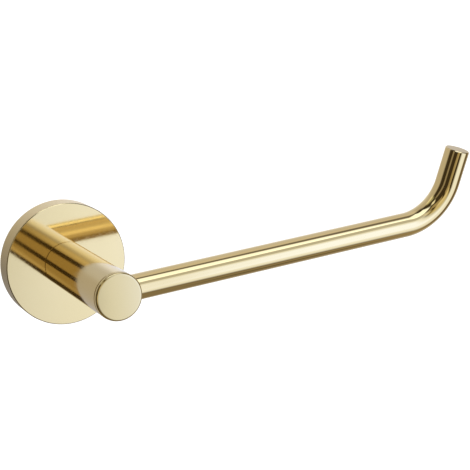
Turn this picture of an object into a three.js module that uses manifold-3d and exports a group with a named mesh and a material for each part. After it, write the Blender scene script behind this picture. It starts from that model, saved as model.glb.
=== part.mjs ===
// A toilet roll holder that hangs on a wall. A round flange covers the plate that is screwed to the
// wall, a turned post stands out from the flange, and a bar that runs sideways through the post's
// front end turns up at its free end and carries the roll.
//
// Millimetres. The origin is on the wall, on the post's axis. +X runs along the bar, -Y points out
// of the wall and +Z up. "Out" is a distance from the wall, so what is 9 out lies at y = -9.

import * as THREE from "three";
import { mergeVertices } from "three/addons/utils/BufferGeometryUtils.js";
import Module from "manifold-3d";

const wasm = await Module();
wasm.setup();

// Flange cover: the cup that is seen against the wall.
const FLANGE_DIAMETER = 50;
const FLANGE_DEPTH = 9;
const COVER_WALL = 3;
const COVER_BEVEL = 0.3;

// Post and its front cap.
const PROJECTION = 66; // wall to the cap's front face
const POST_DIAMETER = 18.4;
const CAP_THICKNESS = 1.5;
const CAP_BEVEL = 0.3;
const NECK_LENGTH = 0.5; // the fine groove behind the cap
const NECK_STEP = 0.8; // how far the neck is turned down below the post
const FRONT_WALL = 0.6; // metal left between the neck and the bar's bore
const STUD_DIAMETER = 4;
const STUD_GRIP = 10; // thread of the cap's stud behind the bar
const DRILL_RUNOUT = 1.5; // how much deeper than its screw a blind hole goes

// Bar.
const BAR_DIAMETER = 10;
const BAR_SEAT = 3.6; // how far the bar's inner end passes the post's axis
const BAR_REACH = 129.5; // post axis to the start of the bend
const BEND_RADIUS = 21; // at the bar's centre line
const BEND_ANGLE = THREE.MathUtils.degToRad(74);
const BEND_LEAN = THREE.MathUtils.degToRad(11); // how far the raised end leans out from the wall
const TIP_LENGTH = 14.3;
const TIP_BEVEL = 0.3;

// Wall plate inside the flange.
const PLATE_THICKNESS = 6.2;
const PLATE_WEB = 1.5; // floor of the plate's middle recess
const PLATE_CLEARANCE = 1.3; // plate's edge to the cover's wall
const PLATE_BEVEL = 0.5;
const RECESS_CLEARANCE = 1.5; // round the post screw's washer
const SCREW_SHELF = 2.4; // plate left under each wall screw's head
const SLOT_TRAVEL = 4; // how far a wall screw can shift in its slot
const SLOT_CLEARANCE = 0.5;

// Screw that clamps the post to the cover, with its spring washer and locating pin.
const POST_SCREW_DIAMETER = 6;
const POST_SCREW_GRIP = 12; // thread in the post
const POST_SCREW_HEAD = 10;
const POST_SCREW_HEAD_HEIGHT = 2.8;
const POST_SCREW_KEY = 4; // hexagon across flats
const POST_SCREW_KEY_DEPTH = 1.8;
const HEAD_ROOM = 0.5; // screw head to the plate's web
const WASHER_DIAMETER = 11;
const WASHER_THICKNESS = 1.2;
const WASHER_SPLIT = 0.9;
const PIN_DIAMETER = 2.5;
const PIN_GRIP = 3; // pin in the post
const PIN_BEVEL = 0.3;

// Set screw that grips the plate through the underside of the cover.
const SET_SCREW_DIAMETER = 4;
const SET_SCREW_KEY = 2;
const SET_SCREW_KEY_DEPTH = 1.6;
const SET_SCREW_SUNK = 0.2; // below the cover's surface
const SET_SCREW_BEVEL = 0.4;

// Wall screws and their plugs.
const WALL_SCREW_DIAMETER = 4;
const WALL_SCREW_LENGTH = 30;
const WALL_SCREW_HEAD = 7.8;
const WALL_SCREW_HEAD_EDGE = 1.1; // straight side of the head
const WALL_SCREW_HEAD_HEIGHT = 2.6;
const WALL_SCREW_POINT = 5;
const RECESS_SPAN = 4.2; // cross recess for the driver
const RECESS_SLOT = 0.9;
const RECESS_DEPTH = 1.4;
const PLUG_LENGTH = 28;
const PLUG_WALL = 0.5;
const PLUG_RIB = 0.4; // height of each rib
const PLUG_RIBS = 7;
const PLUG_MOUTH = 3; // plain length at the mouth
const PLUG_NOSE = 4; // tapered length at the far end
const PLUG_SPLIT = 0.8;

// Gaps between pieces that touch on the real object.
const FACE_GAP = 0.3; // between faces that bear on each other
const THREAD_GAP = 0.3; // round a screw, stud or pin in its hole
const BAR_GAP = 0.2; // round the bar in its bore

// How finely round shapes are cut into flats.
const BIG_ROUND = 72;
const BAR_ROUND = 32;
const SMALL_ROUND = 32;
const BEND_STEPS = 16;
const DOME_STEPS = 6;
const HEXAGON = 6;

// Places that several pieces share, worked out from the sizes above.
const plateRadius = FLANGE_DIAMETER / 2 - COVER_WALL - PLATE_CLEARANCE;
const recessRadius = WASHER_DIAMETER / 2 + RECESS_CLEARANCE;
const wallScrewOffset = (plateRadius + recessRadius) / 2;
const postScrewHeadOut = PLATE_WEB + HEAD_ROOM;
const washerOut = postScrewHeadOut + POST_SCREW_HEAD_HEIGHT + FACE_GAP;
const coverInsideOut = washerOut + WASHER_THICKNESS + FACE_GAP;
const postOut = FLANGE_DEPTH + FACE_GAP;
const postRadius = POST_DIAMETER / 2;
const postScrewHoleRadius = POST_SCREW_DIAMETER / 2 + THREAD_GAP;
const pinOffset = (postRadius + postScrewHoleRadius) / 2;
const pinHoleRadius = PIN_DIAMETER / 2 + THREAD_GAP;
const capBackOut = PROJECTION - CAP_THICKNESS;
const neckOut = capBackOut - NECK_LENGTH;
const barBoreRadius = BAR_DIAMETER / 2 + BAR_GAP;
const barOut = neckOut - FRONT_WALL - barBoreRadius;
const studHoleRadius = STUD_DIAMETER / 2 + THREAD_GAP;
const studEndOut = barOut - barBoreRadius - STUD_GRIP;
const setScrewOut = PLATE_THICKNESS - SET_SCREW_DIAMETER / 2;
const setScrewTip = plateRadius + FACE_GAP;
const plugBoreRadius = WALL_SCREW_DIAMETER / 2 + THREAD_GAP;

// Colours and finishes.
const gold = { color: 0xd9c48a, roughness: 0.08, metalness: 1 };
const steel = { color: 0xb4b6b8, roughness: 0.35, metalness: 1 };
const zincPlate = { color: 0xc3c1b4, roughness: 0.3, metalness: 1 };
const nylon = { color: 0xa9adb0, roughness: 0.6, metalness: 0 };

// A closed three.js geometry as a solid that can be joined and cut.
function solidFrom(geometry) {
  const bare = geometry.index ? geometry.toNonIndexed() : geometry.clone();
  bare.deleteAttribute("normal");
  bare.deleteAttribute("uv");
  const merged = mergeVertices(bare);
  const corners = [...merged.index.array];
  const triangles = [];
  for (let i = 0; i < corners.length; i += 3) {
    const [a, b, c] = corners.slice(i, i + 3);
    if (a !== b && b !== c && c !== a) triangles.push(a, b, c);
  }
  return new wasm.Manifold(
    new wasm.Mesh({
      numProp: 3,
      vertProperties: merged.attributes.position.array,
      triVerts: new Uint32Array(triangles),
    }),
  );
}

// A named mesh made from a solid, with its place in its parent group.
function piece(name, solid, finish, position = [0, 0, 0]) {
  const { vertProperties, triVerts } = solid.getMesh();
  const geometry = new THREE.BufferGeometry();
  geometry.setAttribute("position", new THREE.BufferAttribute(vertProperties, 3));
  geometry.setIndex(new THREE.BufferAttribute(triVerts, 1));
  geometry.computeVertexNormals();
  const mesh = new THREE.Mesh(geometry, new THREE.MeshStandardMaterial(finish));
  mesh.name = name;
  mesh.position.set(...position);
  return mesh;
}

// A solid turned about the Y axis. Each profile point is [radius, out], and the profile runs inwards
// along the outside of the piece and starts and ends on the axis, or closes on itself.
function turned(profile, segments) {
  const points = profile.map(([radius, out]) => new THREE.Vector2(radius, -out));
  return solidFrom(new THREE.LatheGeometry(points, segments));
}

// A plain turned rod on the Y axis, moved sideways, between two distances out.
function drill(radius, innerOut, outerOut, x = 0, z = 0, segments = SMALL_ROUND) {
  const geometry = new THREE.CylinderGeometry(radius, radius, outerOut - innerOut, segments);
  geometry.translate(x, -(innerOut + outerOut) / 2, z);
  return solidFrom(geometry);
}

// A hexagonal socket that is sunk into a screw's end, across flats, between two distances out.
function hexSocket(acrossFlats, innerOut, outerOut) {
  return drill(acrossFlats / Math.sqrt(3), innerOut, outerOut, 0, 0, HEXAGON);
}

// A slot with round ends that runs along X, cut through between two distances out.
function slot(width, travel, innerOut, outerOut, z) {
  const radius = width / 2;
  const outline = new THREE.Shape();
  outline.absarc(travel / 2, 0, radius, -Math.PI / 2, Math.PI / 2, false);
  outline.absarc(-travel / 2, 0, radius, Math.PI / 2, (3 * Math.PI) / 2, false);
  outline.closePath();
  const depth = outerOut - innerOut;
  const geometry = new THREE.ExtrudeGeometry(outline, {
    depth,
    bevelEnabled: false,
    curveSegments: SMALL_ROUND / 4,
  });
  geometry.rotateX(Math.PI / 2);
  geometry.translate(0, -innerOut, z);
  return solidFrom(geometry);
}

// A block centred on a point.
function block(size, centre) {
  const geometry = new THREE.BoxGeometry(...size);
  geometry.translate(...centre);
  return solidFrom(geometry);
}

// The disc screwed to the wall. Its edge is plain, so the set screw can grip it anywhere, and its
// middle is sunk to make room for the post screw's head.
function wallPlate() {
  let plate = turned(
    [
      [0, PLATE_WEB],
      [recessRadius, PLATE_WEB],
      [recessRadius, PLATE_THICKNESS],
      [plateRadius - PLATE_BEVEL, PLATE_THICKNESS],
      [plateRadius, PLATE_THICKNESS - PLATE_BEVEL],
      [plateRadius, 0],
      [0, 0],
    ],
    BIG_ROUND,
  );
  for (const z of [wallScrewOffset, -wallScrewOffset]) {
    const shankWidth = WALL_SCREW_DIAMETER + SLOT_CLEARANCE;
    const headWidth = WALL_SCREW_HEAD + SLOT_CLEARANCE;
    plate = plate.subtract(slot(shankWidth, SLOT_TRAVEL, -1, PLATE_THICKNESS, z));
    plate = plate.subtract(slot(headWidth, SLOT_TRAVEL, SCREW_SHELF, PLATE_THICKNESS + 1, z));
  }
  return plate;
}

// A pan-head wood screw. Its seat is at 0 out, the head stands out and the shank points inwards.
function wallScrew() {
  const headRadius = WALL_SCREW_HEAD / 2;
  const shankRadius = WALL_SCREW_DIAMETER / 2;
  const domeHeight = WALL_SCREW_HEAD_HEIGHT - WALL_SCREW_HEAD_EDGE;
  const dome = [];
  for (let i = 0; i <= DOME_STEPS; i++) {
    const angle = ((Math.PI / 2) * i) / DOME_STEPS;
    const out = WALL_SCREW_HEAD_EDGE + domeHeight * Math.cos(angle);
    dome.push([i === 0 ? 0 : headRadius * Math.sin(angle), out]);
  }
  const body = turned(
    [
      ...dome,
      [headRadius, 0],
      [shankRadius, 0],
      [shankRadius, -(WALL_SCREW_LENGTH - WALL_SCREW_POINT)],
      [0, -WALL_SCREW_LENGTH],
    ],
    SMALL_ROUND,
  );
  const recessCentre = [0, -(WALL_SCREW_HEAD_HEIGHT + RECESS_DEPTH / 2 - RECESS_DEPTH), 0];
  const recess = block([RECESS_SPAN, RECESS_DEPTH, RECESS_SLOT], recessCentre);
  const crossRecess = block([RECESS_SLOT, RECESS_DEPTH, RECESS_SPAN], recessCentre);
  return body.subtract(recess).subtract(crossRecess);
}

// A ribbed plug. Its mouth is at 0 out and it points inwards. It is split lengthwise between the
// mouth and the nose, so that the screw can spread it.
function wallPlug() {
  const bodyRadius = plugBoreRadius + PLUG_WALL;
  const ribbedLength = PLUG_LENGTH - PLUG_MOUTH - PLUG_NOSE;
  const ribPitch = ribbedLength / PLUG_RIBS;
  const ribs = [];
  for (let i = 0; i < PLUG_RIBS; i++) {
    const start = PLUG_MOUTH + i * ribPitch;
    ribs.push([bodyRadius, -start], [bodyRadius + PLUG_RIB, -start - ribPitch / 4]);
  }
  const body = turned(
    [
      [plugBoreRadius, 0],
      [bodyRadius, 0],
      ...ribs,
      [bodyRadius, -(PLUG_LENGTH - PLUG_NOSE)],
      [plugBoreRadius + PLUG_WALL / 2, -PLUG_LENGTH],
      [plugBoreRadius, -PLUG_LENGTH],
      [plugBoreRadius, 0],
    ],
    SMALL_ROUND,
  );
  const split = block(
    [4 * bodyRadius, ribbedLength, PLUG_SPLIT],
    [0, PLUG_MOUTH + ribbedLength / 2, 0],
  );
  return body.subtract(split);
}

// The cup that hides the plate. The post stands on its front face, and its underside has the
// threaded hole for the set screw.
function flangeCover() {
  const radius = FLANGE_DIAMETER / 2;
  const cup = turned(
    [
      [0, FLANGE_DEPTH],
      [radius - COVER_BEVEL, FLANGE_DEPTH],
      [radius, FLANGE_DEPTH - COVER_BEVEL],
      [radius, 0],
      [radius - COVER_WALL, 0],
      [radius - COVER_WALL, coverInsideOut],
      [0, coverInsideOut],
    ],
    BIG_ROUND,
  );
  const setScrewHole = new THREE.CylinderGeometry(
    SET_SCREW_DIAMETER / 2 + THREAD_GAP,
    SET_SCREW_DIAMETER / 2 + THREAD_GAP,
    2 * COVER_WALL,
    SMALL_ROUND,
  );
  setScrewHole.rotateX(Math.PI / 2);
  setScrewHole.translate(0, -setScrewOut, -(radius - COVER_WALL / 2));
  return cup
    .subtract(drill(postScrewHoleRadius, 0, FLANGE_DEPTH + 1))
    .subtract(drill(pinHoleRadius, 0, FLANGE_DEPTH + 1, 0, pinOffset))
    .subtract(solidFrom(setScrewHole));
}

// A short screw with no head. Its tip is at 0 out and its hexagon socket faces out.
function setScrew() {
  const radius = SET_SCREW_DIAMETER / 2;
  const length = FLANGE_DIAMETER / 2 - SET_SCREW_SUNK - setScrewTip;
  const body = turned(
    [
      [0, length],
      [radius - SET_SCREW_BEVEL / 2, length],
      [radius, length - SET_SCREW_BEVEL / 2],
      [radius, SET_SCREW_BEVEL],
      [radius - SET_SCREW_BEVEL, 0],
      [0, 0],
    ],
    SMALL_ROUND,
  );
  return body.subtract(hexSocket(SET_SCREW_KEY, length - SET_SCREW_KEY_DEPTH, length + 1));
}

// The screw that pulls the post against the cover from inside. 0 out is the top of its head, which
// faces the wall and has the hexagon socket.
function postScrew() {
  const headRadius = POST_SCREW_HEAD / 2;
  const radius = POST_SCREW_DIAMETER / 2;
  const end = postOut + POST_SCREW_GRIP - postScrewHeadOut;
  const body = turned(
    [
      [0, end],
      [radius - SET_SCREW_BEVEL, end],
      [radius, end - SET_SCREW_BEVEL],
      [radius, POST_SCREW_HEAD_HEIGHT],
      [headRadius, POST_SCREW_HEAD_HEIGHT],
      [headRadius, SET_SCREW_BEVEL],
      [headRadius - SET_SCREW_BEVEL, 0],
      [0, 0],
    ],
    SMALL_ROUND,
  );
  return body.subtract(hexSocket(POST_SCREW_KEY, -1, POST_SCREW_KEY_DEPTH));
}

// A spring washer: a ring with a slanted cut.
function springWasher() {
  const ring = turned(
    [
      [postScrewHoleRadius, WASHER_THICKNESS],
      [WASHER_DIAMETER / 2, WASHER_THICKNESS],
      [WASHER_DIAMETER / 2, 0],
      [postScrewHoleRadius, 0],
      [postScrewHoleRadius, WASHER_THICKNESS],
    ],
    SMALL_ROUND,
  );
  const cut = new THREE.BoxGeometry(WASHER_SPLIT, 4 * WASHER_THICKNESS, WASHER_DIAMETER);
  cut.rotateZ(Math.PI / 6);
  cut.translate(0, -WASHER_THICKNESS / 2, WASHER_DIAMETER / 2 + POST_SCREW_DIAMETER / 4);
  return ring.subtract(solidFrom(cut));
}

// The pin that stops the post from turning on the cover. 0 out is its inner end.
function locatingPin() {
  const radius = PIN_DIAMETER / 2;
  const length = postOut + PIN_GRIP - coverInsideOut - FACE_GAP;
  return turned(
    [
      [0, length],
      [radius - PIN_BEVEL, length],
      [radius, length - PIN_BEVEL],
      [radius, PIN_BEVEL],
      [radius - PIN_BEVEL, 0],
      [0, 0],
    ],
    SMALL_ROUND,
  );
}

// The post. Its back has a threaded hole and a pin hole, the bar's blind bore crosses it near the
// front, and the cap's stud passes through its neck, the bar and on into the metal behind.
function post() {
  const neckRadius = postRadius - NECK_STEP;
  const neckEnd = capBackOut - FACE_GAP;
  const body = turned(
    [
      [0, neckEnd],
      [neckRadius, neckEnd],
      [neckRadius, neckOut],
      [postRadius, neckOut],
      [postRadius, postOut],
      [0, postOut],
    ],
    BIG_ROUND,
  );
  const boreEnd = -(BAR_SEAT + FACE_GAP);
  const boreLength = 2 * postRadius;
  const bore = new THREE.CylinderGeometry(barBoreRadius, barBoreRadius, boreLength, BAR_ROUND);
  bore.rotateZ(Math.PI / 2);
  bore.translate(boreEnd + boreLength / 2, -barOut, 0);
  const screwHoleEnd = postOut + POST_SCREW_GRIP + DRILL_RUNOUT;
  const pinHoleEnd = postOut + PIN_GRIP + FACE_GAP;
  return body
    .subtract(solidFrom(bore))
    .subtract(drill(postScrewHoleRadius, postOut - 1, screwHoleEnd))
    .subtract(drill(pinHoleRadius, postOut - 1, pinHoleEnd, 0, pinOffset))
    .subtract(drill(studHoleRadius, studEndOut - DRILL_RUNOUT, PROJECTION));
}

// The cap: a disc with a stud behind it that pins the bar in the post.
function frontCap() {
  const radius = postRadius;
  const studRadius = STUD_DIAMETER / 2;
  return turned(
    [
      [0, PROJECTION],
      [radius - CAP_BEVEL, PROJECTION],
      [radius, PROJECTION - CAP_BEVEL],
      [radius, capBackOut],
      [studRadius, capBackOut],
      [studRadius, studEndOut],
      [0, studEndOut],
    ],
    BIG_ROUND,
  );
}

// The bar's centre line: along +X, round an arc that turns up, then along the straight tip.
// Stations fall on the ends of each stretch and evenly along the arc.
class BarPath extends THREE.Curve {
  locate(u) {
    const station = u * (BEND_STEPS + 2);
    const along = Math.min(station, 1);
    const angle = BEND_ANGLE * THREE.MathUtils.clamp((station - 1) / BEND_STEPS, 0, 1);
    const tip = TIP_LENGTH * Math.max(station - 1 - BEND_STEPS, 0);
    const direction = new THREE.Vector3(Math.cos(angle), 0, Math.sin(angle));
    const point = new THREE.Vector3(
      -BAR_SEAT + along * (BAR_SEAT + BAR_REACH) + BEND_RADIUS * Math.sin(angle),
      0,
      BEND_RADIUS * (1 - Math.cos(angle)),
    );
    return { point: point.addScaledVector(direction, tip), direction };
  }

  getPointAt(u) {
    return this.locate(u).point;
  }

  getTangentAt(u) {
    return this.locate(u).direction;
  }
}

// A ring that cuts a bevel round the end of a rod that ends at the origin and points along -Y.
function bevelRing(radius, bevel) {
  return new THREE.LatheGeometry(
    [
      new THREE.Vector2(radius - 2 * bevel, -bevel),
      new THREE.Vector2(radius + bevel, -bevel),
      new THREE.Vector2(radius + bevel, 2 * bevel),
      new THREE.Vector2(radius - 2 * bevel, -bevel),
    ],
    BAR_ROUND,
  );
}

// The bar, centred on the post's axis, with the cross hole that the cap's stud passes through. It is
// bent in an upright plane and then turned about its own axis, so that its raised end leans out.
function bar() {
  const radius = BAR_DIAMETER / 2;
  const section = new THREE.Shape().absarc(0, 0, radius, 0, 2 * Math.PI, false);
  const path = new BarPath();
  const bent = new THREE.ExtrudeGeometry(section, {
    steps: BEND_STEPS + 2,
    curveSegments: BAR_ROUND / 2,
    extrudePath: path,
  });
  const outwards = new THREE.Vector3(0, -1, 0);
  const ring = bevelRing(radius, TIP_BEVEL);
  ring.applyQuaternion(new THREE.Quaternion().setFromUnitVectors(outwards, path.getTangentAt(1)));
  ring.translate(...path.getPointAt(1));
  const [rod, bevel] = [bent, ring].map((geometry) => solidFrom(geometry.rotateX(BEND_LEAN)));
  return rod.subtract(bevel).subtract(drill(studHoleRadius, -BAR_DIAMETER, BAR_DIAMETER));
}

// What stays on the wall.
const wallSide = new THREE.Group();
wallSide.add(piece("wall_plate", wallPlate(), zincPlate));
for (const [where, z] of [
  ["upper", wallScrewOffset],
  ["lower", -wallScrewOffset],
]) {
  wallSide.add(piece(`wall_screw_${where}`, wallScrew(), steel, [0, -(SCREW_SHELF + FACE_GAP), z]));
  wallSide.add(piece(`wall_plug_${where}`, wallPlug(), nylon, [0, FACE_GAP, z]));
}

// What hangs on the plate.
const holderSide = new THREE.Group();
holderSide.add(piece("flange_cover", flangeCover(), gold));
holderSide.add(piece("post_screw", postScrew(), steel, [0, -postScrewHeadOut, 0]));
holderSide.add(piece("spring_washer", springWasher(), steel, [0, -washerOut, 0]));
holderSide.add(piece("locating_pin", locatingPin(), steel, [0, -(coverInsideOut + FACE_GAP), pinOffset]));
holderSide.add(piece("post", post(), gold));
holderSide.add(piece("front_cap", frontCap(), gold));
holderSide.add(piece("bar", bar(), gold, [0, -barOut, 0]));

const setScrewMesh = piece("flange_set_screw", setScrew(), steel, [0, -setScrewOut, -setScrewTip]);
setScrewMesh.rotation.x = Math.PI / 2;
holderSide.add(setScrewMesh);

const holder = new THREE.Group();
holder.add(wallSide, holderSide);

export default holder;
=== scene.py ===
"""A toilet roll holder of polished, gold-plated brass that hangs on a bathroom wall.

The pieces are made here in the order in which a fitter puts the holder up: what goes into the wall,
the plate on the wall, the flange that hides it, the post, the bar through the post, and the screw
that grips the plate. All lengths are in metres. The wall is the plane y = 0, the post's axis is the
Y axis, and "out" is a distance from the wall, so what is out by 9 mm lies at y = -9 mm.
"""

import bmesh
import bpy
import numpy as np
from mathutils import Matrix, Vector


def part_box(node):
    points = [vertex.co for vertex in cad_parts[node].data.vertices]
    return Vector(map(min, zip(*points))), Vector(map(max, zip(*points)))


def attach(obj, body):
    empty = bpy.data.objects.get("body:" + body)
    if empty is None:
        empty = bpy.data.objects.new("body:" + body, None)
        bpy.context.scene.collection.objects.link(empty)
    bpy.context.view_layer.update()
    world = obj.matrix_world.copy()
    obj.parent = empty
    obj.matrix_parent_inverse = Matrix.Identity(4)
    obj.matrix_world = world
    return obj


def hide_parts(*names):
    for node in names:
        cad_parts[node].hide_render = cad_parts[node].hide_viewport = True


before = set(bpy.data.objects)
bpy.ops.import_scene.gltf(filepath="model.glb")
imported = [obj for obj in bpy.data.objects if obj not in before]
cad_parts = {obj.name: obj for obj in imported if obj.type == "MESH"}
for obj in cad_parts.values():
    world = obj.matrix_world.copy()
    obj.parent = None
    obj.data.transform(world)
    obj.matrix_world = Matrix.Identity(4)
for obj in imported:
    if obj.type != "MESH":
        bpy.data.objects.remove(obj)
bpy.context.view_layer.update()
MM = 0.001


# ---------------------------------------------------------------------------------------------
# Wall plugs. Two grey nylon plugs, moulded with saw-tooth ribs that hold them in the drilled
# holes. Each is split along its middle, so that the wall screw can spread it.
# ---------------------------------------------------------------------------------------------
WELD = 0.0001 * MM
SHARP = np.radians(32)


def skin(name, patches):
    """One mesh from grids of points.

    A patch is (points[row, column, xyz], wear[row, column], window, ...). Four neighbouring points
    make a face, except in the windows, which are pairs of row and column limits. Points at the
    same place become one, a face that shrinks to a line is left out, and so is a point without a
    face. The faces are then turned so that they all point out of the material.
    """
    points = np.concatenate([patch[0].reshape(-1, 3) for patch in patches])
    wear = np.concatenate([np.broadcast_to(patch[1], patch[0].shape[:2]).ravel() for patch in patches])
    start, quads = 0, []
    for grid, _, *windows in patches:
        rows, columns = grid.shape[:2]
        index = start + np.arange(rows * columns).reshape(rows, columns)
        corners = np.stack([index[:-1, :-1], index[1:, :-1], index[1:, 1:], index[:-1, 1:]], -1)
        kept = np.ones((rows - 1, columns - 1), bool)
        for (top, bottom), (left, right) in windows:
            kept[top:bottom, left:right] = False
        quads.append(corners[kept])
        start += rows * columns
    cells = np.round(points / WELD).astype(np.int64)
    _, first, same = np.unique(cells, axis=0, return_index=True, return_inverse=True)
    quads = same.ravel()[np.concatenate(quads)]
    doubled = quads == np.roll(quads, -1, axis=1)
    others = np.array([np.roll(np.arange(4), -k)[1:] for k in range(4)])
    narrow = doubled.sum(1) == 1
    triangles = np.take_along_axis(quads[narrow], others[doubled[narrow].argmax(1)], axis=1)
    quads = quads[doubled.sum(1) == 0]
    used = np.union1d(quads, triangles)
    faces = np.searchsorted(used, quads).tolist() + np.searchsorted(used, triangles).tolist()
    mesh = bpy.data.meshes.new(name)
    mesh.from_pydata(points[first[used]], [], faces)
    mesh.attributes.new("wear", "FLOAT", "POINT").data.foreach_set("value", wear[first[used]])
    outwards = bmesh.new()
    outwards.from_mesh(mesh)
    bmesh.ops.recalc_face_normals(outwards, faces=outwards.faces)
    outwards.to_mesh(mesh)
    outwards.free()
    mesh.shade_smooth()
    mesh.set_sharp_from_angle(angle=SHARP)
    piece = bpy.data.objects.new(name, mesh)
    bpy.context.scene.collection.objects.link(piece)
    return piece


def stand_for(piece, cad_node, body, finish):
    """Gives a piece its finish, and lets it move with a body and stand for that body's CAD node."""
    piece.data.materials.append(finish)
    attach(piece, body)
    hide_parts(cad_node)


def node(tree, kind, inputs=None, **settings):
    """Adds a shader node. An input is either a value or another node's output to join to it."""
    made = tree.nodes.new("ShaderNode" + kind)
    for setting, value in settings.items():
        setattr(made, setting, value)
    for socket, value in (inputs or {}).items():
        if isinstance(value, bpy.types.NodeSocket):
            tree.links.new(value, made.inputs[socket])
        else:
            made.inputs[socket].default_value = value
    return made


def blank(name):
    """A new node material: its tree, its shader and the piece's own coordinates."""
    made = bpy.data.materials.new(name)
    made.use_nodes = True
    tree = made.node_tree
    return made, tree, tree.nodes["Principled BSDF"], node(tree, "TexCoord").outputs["Object"]


def grain(tree, place, scale, detail=2.0, stretch=(1, 1, 1)):
    """Noise from 0 to 1, drawn out along an axis where stretch is small."""
    drawn = node(tree, "Mapping", {"Vector": place, "Scale": stretch}).outputs["Vector"]
    noise = node(tree, "TexNoise", {"Vector": drawn, "Scale": scale, "Detail": detail})
    return noise.outputs["Fac"]


def span(tree, value, low, high, start=0.0, end=1.0, how="LINEAR"):
    """Maps start..end of a value to low..high, and holds it there beyond both ends."""
    inputs = {"Value": value, "From Min": start, "From Max": end, "To Min": low, "To Max": high}
    return node(tree, "MapRange", inputs, interpolation_type=how).outputs["Result"]


def tint(tree, share, low, high):
    """A colour between two colours, each a red, green and blue or another node's output."""
    mixed = node(tree, "Mix", {"Factor": share}, data_type="RGBA")
    # The node has sockets for numbers and vectors too. Its colours are inputs 6 and 7 and output 2.
    for socket, colour in zip((mixed.inputs[6], mixed.inputs[7]), (low, high)):
        if isinstance(colour, bpy.types.NodeSocket):
            tree.links.new(colour, socket)
        else:
            socket.default_value = (*colour, 1)
    return mixed.outputs[2]


def calc(tree, operation, *values):
    """A value worked out from one or two others."""
    return node(tree, "Math", dict(enumerate(values)), operation=operation).outputs[0]


def worn_edges(tree):
    """How much a point is on a worn edge, from 0 to 1."""
    return node(tree, "Attribute", attribute_name="wear").outputs["Fac"]


def roughen(tree, shader, height, strength, depth):
    """Gives a shader a bump of a real depth."""
    bump = node(tree, "Bump", {"Height": height, "Strength": strength, "Distance": depth})
    tree.links.new(bump.outputs["Normal"], shader.inputs["Normal"])


NYLON_DARK = (0.30, 0.32, 0.34)
NYLON_LIGHT = (0.39, 0.41, 0.43)
NYLON_RUBBED = (0.62, 0.63, 0.64)
NYLON_ROUGHNESS = (0.42, 0.6)
NOISE_MIDDLE = (0.3, 0.7)  # where most values of a noise lie


def moulded_nylon():
    """Grey nylon: cloudy in colour, with the fine skin that a mould leaves and paler ribs."""
    made, tree, shader, place = blank("grey_nylon")
    cloud = grain(tree, place, scale=160, detail=4)
    speck = grain(tree, place, scale=2600, detail=3)
    body = tint(tree, span(tree, cloud, 0, 1, *NOISE_MIDDLE), NYLON_DARK, NYLON_LIGHT)
    pale = tint(tree, span(tree, worn_edges(tree), 0, 0.45), body, NYLON_RUBBED)
    tree.links.new(pale, shader.inputs["Base Color"])
    rough = span(tree, speck, *NYLON_ROUGHNESS, *NOISE_MIDDLE)
    tree.links.new(rough, shader.inputs["Roughness"])
    shader.inputs["Specular IOR Level"].default_value = 0.4
    roughen(tree, shader, speck, strength=0.25, depth=0.05 * MM)
    return made


PLUG_WALL = 0.5 * MM
PLUG_RIB = 0.4 * MM
PLUG_RIBS = 7
PLUG_MOUTH = 3 * MM
PLUG_NOSE = 4 * MM
PLUG_NOSE_IN = 0.3 * MM
PLUG_NOSE_CURVE = 1.5
PLUG_SPLIT = 0.8 * MM
PLUG_ROWS = 281
PLUG_HALF_COLUMNS = 33
RIB_RISE = 0.25  # the steep side's share of a rib


def split_plug(name, low, high):
    """The plug's outside, r(s) cos a and r(s) sin a round its own axis, at a depth s in the wall.

    r(s) is the plain radius, plus a saw-tooth between the mouth and the nose, less a taper along
    the nose that steepens towards its end. The faces over the split are left out, and the wall is
    thickened inwards.
    """
    length = high.y - low.y
    body = (high.z - low.z) / 2 - PLUG_RIB
    depth = np.linspace(0, length, PLUG_ROWS)
    along = (depth - PLUG_MOUTH) / (length - PLUG_MOUTH - PLUG_NOSE)
    tooth = np.modf(np.clip(along, 0, 1) * PLUG_RIBS)[0]
    tooth = np.where(tooth < RIB_RISE, tooth / RIB_RISE, (1 - tooth) / (1 - RIB_RISE))
    tooth = tooth * (along > 0) * (along < 1)
    nose = np.clip((depth - length + PLUG_NOSE) / PLUG_NOSE, 0, 1)
    radius = body + PLUG_RIB * tooth - PLUG_NOSE_IN * nose**PLUG_NOSE_CURVE
    half_split = np.arcsin(PLUG_SPLIT / 2 / body)
    gap = np.linspace(-half_split, half_split, 3)
    half = np.linspace(half_split, np.pi - half_split, PLUG_HALF_COLUMNS)
    angle = np.concatenate([gap, half[1:], gap[1:] + np.pi, half[1:] + np.pi])
    r, s = radius[:, None], depth[:, None]
    grid = np.stack([r * np.cos(angle), s + 0 * angle, r * np.sin(angle)], -1)
    ribbed = tuple(np.searchsorted(along, (0, 1)))
    opposite = len(half) + 1
    windows = (ribbed, (0, 2)), (ribbed, (opposite, opposite + 2))
    centre = np.array([0, low.y, (low.z + high.z) / 2])
    plug = skin(name, [(grid + centre, tooth[:, None], *windows)])
    wall = plug.modifiers.new("wall", "SOLIDIFY")
    wall.thickness = PLUG_WALL
    wall.offset = -1
    return plug


nylon = moulded_nylon()
for where in ("upper", "lower"):
    plug = split_plug("ribbed_plug_" + where, *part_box("wall_plug_" + where))
    stand_for(plug, "wall_plug_" + where, "wall_side", nylon)


# ---------------------------------------------------------------------------------------------
# Wall plate. A turned steel disc, zinc plated, with a plain edge for the set screw to grip and a
# sunk middle for the post screw's head. Two stepped slots take the wall screws.
# ---------------------------------------------------------------------------------------------
PAST_ARC = 1.4  # where the point past an arc lies, against the arc's own start


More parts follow.
